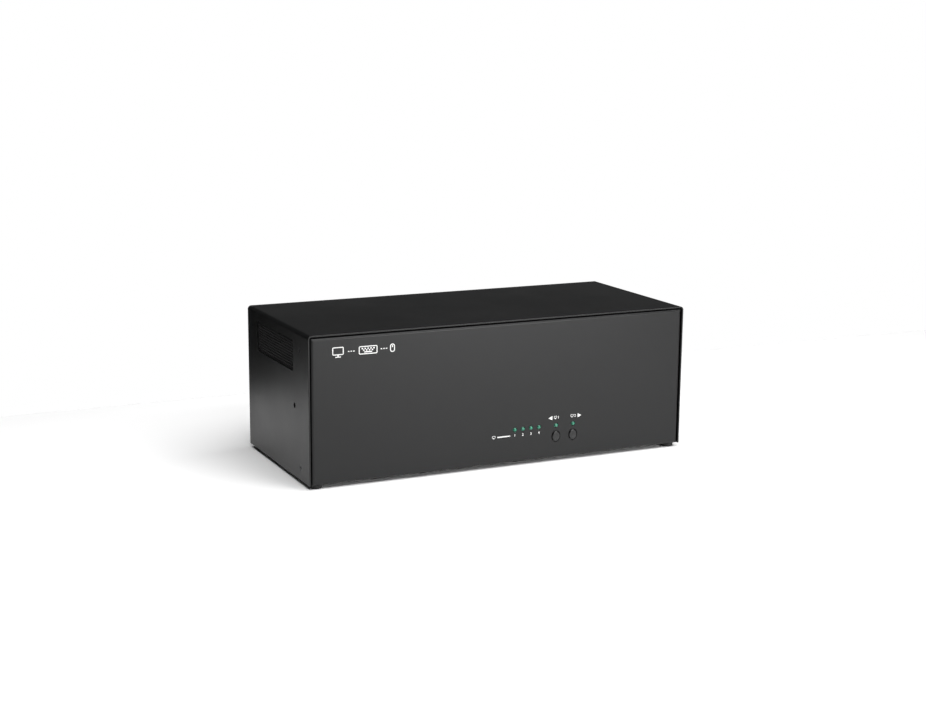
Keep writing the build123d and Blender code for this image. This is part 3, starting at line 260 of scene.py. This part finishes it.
def moulded_rubber(name, color):
    """Matt rubber with a dusty bloom and a pitted face."""
    shader = Shader(name)
    bloom = shader.noise(160.0, detail=5.0, roughness=0.7)
    base = shader.mix(shader.ramp(bloom, 0.0, 1.0, 0.35, 0.75), color, tuple(c * 2.2 + 0.01 for c in color))
    shader.link(base, shader.surface.inputs["Base Color"])
    shader.link(shader.ramp(bloom, 0.72, 0.92), shader.surface.inputs["Roughness"])
    shader.bump(shader.cells(1100.0), 0.03 * MM)
    shader.set(Specular_IOR_Level=0.3)
    return shader.material


def tinted_epoxy(name, color):
    """Green diffused lamp epoxy with painted shade: a milky tip, and behind it the colour darkens to half
    along the body, standing in for the shaded rim of the dome.
    """
    shader = Shader(name)
    milk = shader.noise(500.0, detail=3.0)
    cloudy = shader.mix(milk, color, tuple(c * 1.2 for c in color))
    # painted shade: from just behind the tip the colour darkens to half, standing in for the shaded rim of
    # the lamp's dome
    rim_shade_start, rim_shade_full = LAMP_TIP_Y + 0.12 * MM, LAMP_TIP_Y + 0.5 * MM
    rim_shade = shader.ramp(shader.along("Y"), 0.0, 1.0, rim_shade_start, rim_shade_full)
    base = shader.mix(rim_shade, cloudy, tuple(c * 0.5 for c in color))
    shader.link(base, shader.surface.inputs["Base Color"])
    shader.link(shader.ramp(milk, 0.12, 0.22), shader.surface.inputs["Roughness"])
    shader.set(Subsurface_Weight=0.15, Subsurface_Scale=0.6 * MM, Coat_Weight=0.3, Coat_Roughness=0.08)
    shader.surface.inputs["Subsurface Radius"].default_value = (0.3, 1.0, 0.6)
    shader.bump(shader.noise(250.0), 0.01 * MM)
    return shader.material


def circuit_board(name):
    """Green solder mask over buried tracks, with a woven glass texture."""
    shader = Shader(name)
    mask, track = (0.008, 0.075, 0.03), (0.02, 0.15, 0.06)
    grid = shader.node("ShaderNodeTexBrick", offset=0.5, squash=1.0)
    grid.inputs["Scale"].default_value = 120.0
    grid.inputs["Mortar Size"].default_value = 0.035
    shader.link(shader.place, grid.inputs["Vector"])
    patches = shader.noise(90.0, detail=2.0)
    tracks = shader.math("MULTIPLY", grid.outputs["Fac"], shader.ramp(patches, 0.0, 1.0, 0.4, 0.6))
    weave = shader.noise(1800.0, detail=1.0)
    base = shader.mix(tracks, mask, track)
    base = shader.mix(shader.ramp(weave, 0.0, 0.35), base, (0.03, 0.12, 0.05))
    shader.link(base, shader.surface.inputs["Base Color"])
    shader.link(shader.ramp(weave, 0.28, 0.4), shader.surface.inputs["Roughness"])
    shader.bump(tracks, 0.03 * MM)
    shader.bump(weave, 0.01 * MM)
    return shader.material


def screen_print(name, color):
    """Opaque printing ink with a slightly grainy face."""
    shader = Shader(name)
    grain = shader.noise(2400.0, detail=2.0)
    base = shader.mix(shader.ramp(grain, 0.0, 1.0, 0.3, 0.7), tuple(c * 0.93 for c in color), color)
    shader.link(base, shader.surface.inputs["Base Color"])
    shader.link(shader.ramp(grain, 0.45, 0.6), shader.surface.inputs["Roughness"])
    shader.bump(grain, 0.004 * MM)
    return shader.material


def flat_cable(name):
    """Grey ribbon cable: ten ribbed conductors side by side."""
    shader = Shader(name)
    ribs = shader.node("ShaderNodeTexWave", wave_type="BANDS", bands_direction="X")
    ribs.inputs["Scale"].default_value = 250.0
    shader.link(shader.place, ribs.inputs["Vector"])
    # painted shade: the grey is darker in the troughs between the ribs and lighter on their crests, following
    # the bump
    base = shader.mix(ribs.outputs["Fac"], (0.25, 0.25, 0.26), (0.45, 0.45, 0.46))
    shader.link(base, shader.surface.inputs["Base Color"])
    shader.link(shader.ramp(shader.noise(400.0), 0.42, 0.58), shader.surface.inputs["Roughness"])
    shader.bump(ribs.outputs["Fac"], 0.3 * MM)
    return shader.material


def insulated_wire(name, color):
    """Soft wire insulation, faintly mottled."""
    shader = Shader(name)
    mottle = shader.noise(220.0, detail=3.0)
    base = shader.mix(mottle, tuple(c * 0.8 for c in color), color)
    shader.link(base, shader.surface.inputs["Base Color"])
    shader.link(shader.ramp(mottle, 0.38, 0.52), shader.surface.inputs["Roughness"])
    shader.bump(shader.noise(900.0), 0.01 * MM)
    return shader.material


def studio_floor():
    """Plain pale floor with a faint tone variation."""
    shader = Shader("floor_paper")
    tone = shader.noise(1.5, detail=2.0)
    base = shader.mix(tone, (0.95, 0.95, 0.95), (0.97, 0.97, 0.97))
    shader.link(base, shader.surface.inputs["Base Color"])
    shader.set(Roughness=0.9, Specular_IOR_Level=0.1)
    return shader.material


BLACK_PAINT = (0.0025, 0.0026, 0.0028)


def make_finishes():
    """One material for each of the record's material slots."""
    dark_plastic = (0.012, 0.012, 0.013)
    return {
        "case_paint": painted_steel("case_paint", BLACK_PAINT, 0.37),
        "rear_paint": painted_steel("rear_paint", (0.017, 0.0175, 0.0185), 0.46),
        "zinc_sheet": plated_steel("zinc_sheet", (0.55, 0.56, 0.57), 0.36, streak=(0.05, 1, 1)),
        "mesh_paint": painted_steel("mesh_paint", (0.0015, 0.0015, 0.0016), 0.7),
        "black_fastener": painted_steel("black_fastener", (0.012, 0.012, 0.013), 0.34, grain=0.006),
        "zinc_fastener": plated_steel("zinc_fastener", (0.6, 0.6, 0.6), 0.3),
        "nickel_post": plated_steel("nickel_post", (0.62, 0.61, 0.58), 0.24),
        "foot_rubber": moulded_rubber("foot_rubber", (0.010, 0.010, 0.010)),
        "lamp_lens": tinted_epoxy("lamp_lens", (0.02, 0.19, 0.115)),
        "button_plastic": moulded_plastic("button_plastic", (0.004, 0.004, 0.0044), 0.33),
        "switch_plastic": moulded_plastic("switch_plastic", dark_plastic, 0.42),
        "plunger_plastic": moulded_plastic("plunger_plastic", (0.6, 0.6, 0.58), 0.45),
        "spacer_nylon": moulded_plastic("spacer_nylon", (0.75, 0.74, 0.7), 0.5),
        "board": circuit_board("board"),
        "chip": moulded_plastic("chip", (0.02, 0.02, 0.022), 0.55, grain=0.02, scale=2200.0),
        "connector_plastic": moulded_plastic("connector_plastic", (0.03, 0.03, 0.03), 0.5),
        "capacitor_can": plated_steel("capacitor_can", (0.3, 0.31, 0.33), 0.35),
        "heatsink": plated_steel("heatsink", (0.1, 0.1, 0.11), 0.45, streak=(1, 1, 0.1)),
        "transformer": moulded_plastic("transformer", (0.09, 0.09, 0.1), 0.6, grain=0.04, scale=700.0),
        "socket_shell": plated_steel("socket_shell", (0.72, 0.71, 0.68), 0.22),
        "socket_insert": moulded_plastic("socket_insert", (0.8, 0.8, 0.77), 0.42),
        "usb_insert": moulded_plastic("usb_insert", (0.02, 0.02, 0.02), 0.45),
        "contact": plated_steel("contact", (0.75, 0.68, 0.5), 0.26),
        "ribbon": flat_cable("ribbon"),
        "mains_wire": insulated_wire("mains_wire", (0.25, 0.1, 0.04)),
        "dc_wire": insulated_wire("dc_wire", (0.5, 0.04, 0.03)),
    }


def dress_nodes():
    """Gives every CAD node the finish of its material slot."""
    finishes = make_finishes()
    for subpart in frame["record"]["subparts"]:
        node = frame["nodes"][subpart["node"]]
        node.data.materials.clear()
        node.data.materials.append(finishes[subpart["material_slot"]])


# ---------------------------------------------------------------- prints


def rounded_box(width, height, radius, turns=5):
    """Outline of a rounded rectangle centred on the origin, as (u, v) points."""
    points = []
    for corner in range(4):
        middle = math.pi / 4 + corner * math.pi / 2
        u = math.copysign(width / 2 - radius, math.cos(middle))
        v = math.copysign(height / 2 - radius, math.sin(middle))
        for step in range(turns + 1):
            angle = (corner + step / turns) * math.pi / 2
            points.append((u + radius * math.cos(angle), v + radius * math.sin(angle)))
    return points


class Print:
    """Flat ink shapes on one panel, gathered in one mesh. u runs to the reader's right and v runs up."""

    def __init__(self, plane_y, facing):
        self.y = plane_y + facing * PRINT_LIFT
        self.right = -facing  # +X is the reader's right on the front and left on the rear
        self.bm = bmesh.new()

    def corner(self, u, v):
        """A new corner on the panel."""
        return self.bm.verts.new((self.right * u, self.y, v))

    def fill(self, outline, at=(0, 0)):
        """The inside of an outline."""
        self.bm.faces.new([self.corner(u + at[0], v + at[1]) for u, v in outline])

    def ring(self, outer, inner, at=(0, 0)):
        """The band between two outlines that have as many points as each other."""
        loops = [[self.corner(u + at[0], v + at[1]) for u, v in loop] for loop in (outer, inner)]
        count = len(outer)
        for i in range(count):
            j = (i + 1) % count
            self.bm.faces.new((loops[0][i], loops[0][j], loops[1][j], loops[1][i]))

    def frame(self, at, width, height, radius, line):
        """A rounded rectangle drawn with a line of that width."""
        inner = rounded_box(width - 2 * line, height - 2 * line, max(radius - line, 0.1 * line))
        self.ring(rounded_box(width, height, radius), inner, at)

    def bar(self, at, width, height):
        """A solid bar with slightly rounded corners."""
        self.fill(rounded_box(width, height, min(width, height) * 0.3), at)

    def arrow(self, tip, base, v, height):
        """A triangle that points from base to tip, both along u."""
        self.fill([(tip, v), (base, v - height / 2), (base, v + height / 2)])

    def digit(self, text, at, height):
        """A numeral centred on at, cut from the built-in face."""
        curve = bpy.data.curves.new("numeral", "FONT")
        curve.body = text
        curve.align_x = "CENTER"
        curve.align_y = "CENTER"
        curve.size = height * NUMERAL_SIZE
        curve.offset = height * NUMERAL_WEIGHT
        writer = bpy.data.objects.new("numeral", curve)
        bpy.context.scene.collection.objects.link(writer)
        shape = bpy.data.meshes.new_from_object(writer)
        bpy.data.objects.remove(writer)
        corners = [self.corner(p.co.x + at[0], p.co.y + at[1]) for p in shape.vertices]
        for face in shape.polygons:
            self.bm.faces.new([corners[i] for i in face.vertices])

    def drape(self, node):
        """Moves every corner along Y until it lies on the node."""
        mesh = frame["nodes"][node].data
        surface = BVHTree.FromPolygons(
            [vert.co for vert in mesh.vertices], [face.vertices for face in mesh.polygons]
        )
        facing = -self.right
        for vert in self.bm.verts:
            start = Vector((vert.co.x, self.y + facing * DRAPE_START, vert.co.z))
            hit = surface.ray_cast(start, Vector((0, -facing, 0)))[0]
            vert.co.y = hit.y + facing * PRINT_LIFT

    def finish(self, name, ink, body="case"):
        """Makes the piece, in that ink, and has it ride the body."""
        mesh = bpy.data.meshes.new(name)
        bmesh.ops.recalc_face_normals(self.bm, faces=self.bm.faces)
        self.bm.to_mesh(mesh)
        self.bm.free()
        piece = bpy.data.objects.new(name, mesh)
        bpy.context.scene.collection.objects.link(piece)
        mesh.materials.append(ink)
        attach(piece, body)


def centre(node):
    """Middle of a node's box."""
    low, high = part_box(node)
    return (low + high) / 2


def draw_screen(ink_print, at, width, line):
    """Pictogram of a monitor on its stand."""
    u, v = at
    height = width * 0.68
    ink_print.frame((u, v + height * 0.14), width, height, line * 1.4, line)
    ink_print.bar((u, v - height * 0.47), line * 1.6, height * 0.22)
    ink_print.bar((u, v - height * 0.6), width * 0.5, line)


def draw_keyboard(ink_print, at, width, line):
    """Pictogram of a keyboard with two rows of keys and a space bar."""
    u, v = at
    height = width * 0.42
    ink_print.frame(at, width, height, line * 1.6, line)
    key = width * 0.075
    for row, row_v in enumerate((height * 0.2, 0.0)):
        for column in range(5 - row):
            key_u = (column - (4 - row) / 2) * width * 0.155
            ink_print.bar((u + key_u, v + row_v), key, key)
    ink_print.bar((u, v - height * 0.22), width * 0.42, key * 0.8)


def draw_mouse(ink_print, at, height, line):
    """Pictogram of a mouse with its wheel."""
    u, v = at
    width = height * 0.62
    ink_print.frame(at, width, height, width * 0.48, line)
    ink_print.bar((u, v + height * 0.2), line * 1.2, height * 0.24)


def print_front(ink):
    """White prints of the front panel: device pictograms, lamp numerals and button arrows."""
    made = Print(FRONT_Y, -1)
    row = CASE_BOTTOM + ROW_V
    draw_screen(made, (ROW_SCREEN_U, row), ROW_SCREEN_WIDTH, ROW_LINE)
    draw_keyboard(made, (ROW_KEYBOARD_U, row), ROW_KEYBOARD_WIDTH, ROW_LINE)
    draw_mouse(made, (ROW_MOUSE_U, row), ROW_MOUSE_HEIGHT, ROW_LINE)
    for start in ROW_DASHES_U:
        for dash in range(3):
            made.bar((start + dash * DASH_PITCH, row), DASH, ROW_LINE)

    label = CASE_BOTTOM + LABEL_V
    for number in range(1, 5):
        made.digit(str(number), (centre(f"lamp_computer_{number}").x, label), NUMERAL)
    draw_screen(made, (STRIP_SCREEN_U, label + 0.15 * MM), SMALL_SCREEN, 0.32 * MM)
    made.bar((STRIP_U, label), STRIP_LENGTH, STRIP_HEIGHT)
    made.arrow(*STRIP_ARROW, label, 1.7 * MM)

    top = CASE_BOTTOM + ARROWS_V
    previous, following = centre("lamp_previous").x, centre("lamp_next").x
    for lamp, arrow in ((previous, PREVIOUS_ARROW), (following, NEXT_ARROW)):
        tip, base = (lamp + offset for offset in arrow)
        made.arrow(tip, base, top, ARROW_HEIGHT)
    for x, text in ((previous + 0.3 * MM, "1"), (following + 0.1 * MM, "2")):
        draw_screen(made, (x - 1.0 * MM, top + 0.2 * MM), SMALL_SCREEN, 0.34 * MM)
        made.digit(text, (x + 1.8 * MM, top), NUMERAL)
    made.finish("front_print", ink)


def place_of(mount):
    """A mount's place in the frame."""
    found = next(m for m in frame["record"]["mounts"] if m["name"] == mount)
    return Vector(found["pos_m"])


def socket_columns():
    """x of the four computers' columns of sockets, then the console's, from the record's USB mounts."""
    usb = [place_of(f"usb_computer_{number}").x for number in range(1, 5)]
    console = (place_of("usb_console_1").x + place_of("usb_console_2").x) / 2
    return usb + [console]


def print_rear(ink):
    """White prints of the rear panel: a numeral for each computer's column, pictograms for the console's."""
    made = Print(BACK_Y, 1)
    top = REAR_TOP - COLUMN_LABEL_DROP
    below = CASE_BOTTOM + SOCKET_LABEL_V
    *computers, console = (-x for x in socket_columns())
    for number, u in enumerate(computers, start=1):
        made.digit(str(number), (u, top), COLUMN_NUMERAL)
        made.digit(str(number), (u, below), SOCKET_NUMERAL)
    draw_screen(made, (console, top), 5.6 * MM, 0.5 * MM)
    draw_keyboard(made, (console - CONSOLE_SPREAD, below), 9.0 * MM, 0.4 * MM)
    draw_mouse(made, (console + CONSOLE_SPREAD, below), 4.4 * MM, 0.4 * MM)
    made.finish("rear_print", ink)


def print_rocker(ink):
    """The power rocker's marks: a bar on the half that sticks out and a ring on the other."""
    low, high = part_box("power_rocker")
    x = -(low.x + high.x) / 2
    middle = (low.z + high.z) / 2
    made = Print(high.y, 1)
    made.bar((x, middle + 3.6 * MM), 0.6 * MM, 2.8 * MM)
    made.frame((x, middle - 4.2 * MM), 2.8 * MM, 2.8 * MM, 1.3 * MM, 0.5 * MM)
    made.drape("power_rocker")
    made.finish("rocker_print", ink, "power_rocker")


def make_prints():
    """All of the white prints, in one ink."""
    ink = screen_print("white_ink", PRINT_COLOR)
    print_front(ink)
    print_rear(ink)
    print_rocker(ink)


# ---------------------------------------------------------------- stage, light and camera


def make_floor():
    """A pale table top that ends a short way behind the case."""
    mesh = bpy.data.meshes.new("floor")
    (left, right), (front, back) = FLOOR_X, FLOOR_Y
    corners = [(left, front, 0), (right, front, 0), (right, back, 0), (left, back, 0)]
    mesh.from_pydata(corners, [], [(0, 1, 2, 3)])
    floor = bpy.data.objects.new("floor", mesh)
    bpy.context.scene.collection.objects.link(floor)
    floor.data.materials.append(studio_floor())


def make_light(name, place, target, size, power):
    """A soft rectangular light that faces target."""
    data = bpy.data.lights.new(name, "AREA")
    data.shape = "RECTANGLE"
    data.size, data.size_y = size
    data.energy = power
    light = bpy.data.objects.new(name, data)
    bpy.context.scene.collection.objects.link(light)
    light.location = place
    light.rotation_euler = (Vector(target) - Vector(place)).to_track_quat("-Z", "Y").to_euler()
    light.visible_camera = False


def make_world():
    """A white backdrop that the camera sees, in a studio that is dark around it."""
    world = bpy.data.worlds.new("studio")
    bpy.context.scene.world = world
    world.use_nodes = True
    nodes, links = world.node_tree.nodes, world.node_tree.links
    background = nodes["Background"]
    background.inputs["Color"].default_value = (1.0, 1.0, 1.0, 1.0)
    rays = nodes.new("ShaderNodeLightPath")
    strength = nodes.new("ShaderNodeMapRange")
    strength.inputs["To Min"].default_value = STUDIO_GLOW
    strength.inputs["To Max"].default_value = 1.0
    links.new(rays.outputs["Is Camera Ray"], strength.inputs["Value"])
    links.new(strength.outputs["Result"], background.inputs["Strength"])


def make_lights():
    """A broad light overhead, one in front for the panel, and two narrow ones for the bends and the top."""
    front_face = (0.0, FRONT_Y, 0.1)
    front_edge = (0.0, FRONT_Y, 0.12)
    make_light("overhead", (0.2, -0.45, 1.5), (0.2, -0.2, 0.0), size=(2.3, 1.5), power=42.0)
    make_light("front", (0.37, -0.95, 0.24), front_face, size=(0.5, 0.25), power=4.4)
    make_light("brow", (0.1, -1.0, 1.0), front_edge, size=(1.2, 0.15), power=5.0)
    make_light("back", (0.5, 1.4, 0.3), (0.0, 0.0, 0.12), size=(2.4, 0.2), power=0.36)


def make_camera():
    """The camera, turned and rolled about its line of sight to the target."""
    azimuth, elevation = CAMERA_AZIMUTH, CAMERA_ELEVATION
    back = Vector(
        (
            math.sin(azimuth) * math.cos(elevation),
            -math.cos(azimuth) * math.cos(elevation),
            math.sin(elevation),
        )
    )
    right = (-back).cross(Vector((0, 0, 1))).normalized()
    up = right.cross(-back)
    rolled_right = right * math.cos(CAMERA_ROLL) + up * math.sin(CAMERA_ROLL)
    rolled_up = up * math.cos(CAMERA_ROLL) - right * math.sin(CAMERA_ROLL)
    data = bpy.data.cameras.new("camera")
    data.lens = CAMERA_LENS
    data.sensor_width = SENSOR_WIDTH
    camera = bpy.data.objects.new("camera", data)
    bpy.context.scene.collection.objects.link(camera)
    turn = Matrix((rolled_right, rolled_up, back)).transposed().to_4x4()
    camera.matrix_world = Matrix.Translation(CAMERA_TARGET + back * CAMERA_DISTANCE) @ turn
    bpy.context.scene.camera = camera


dress_nodes()
make_prints()
make_floor()
make_world()
make_lights()
make_camera()
bpy.context.scene.view_settings.view_transform = "Standard"
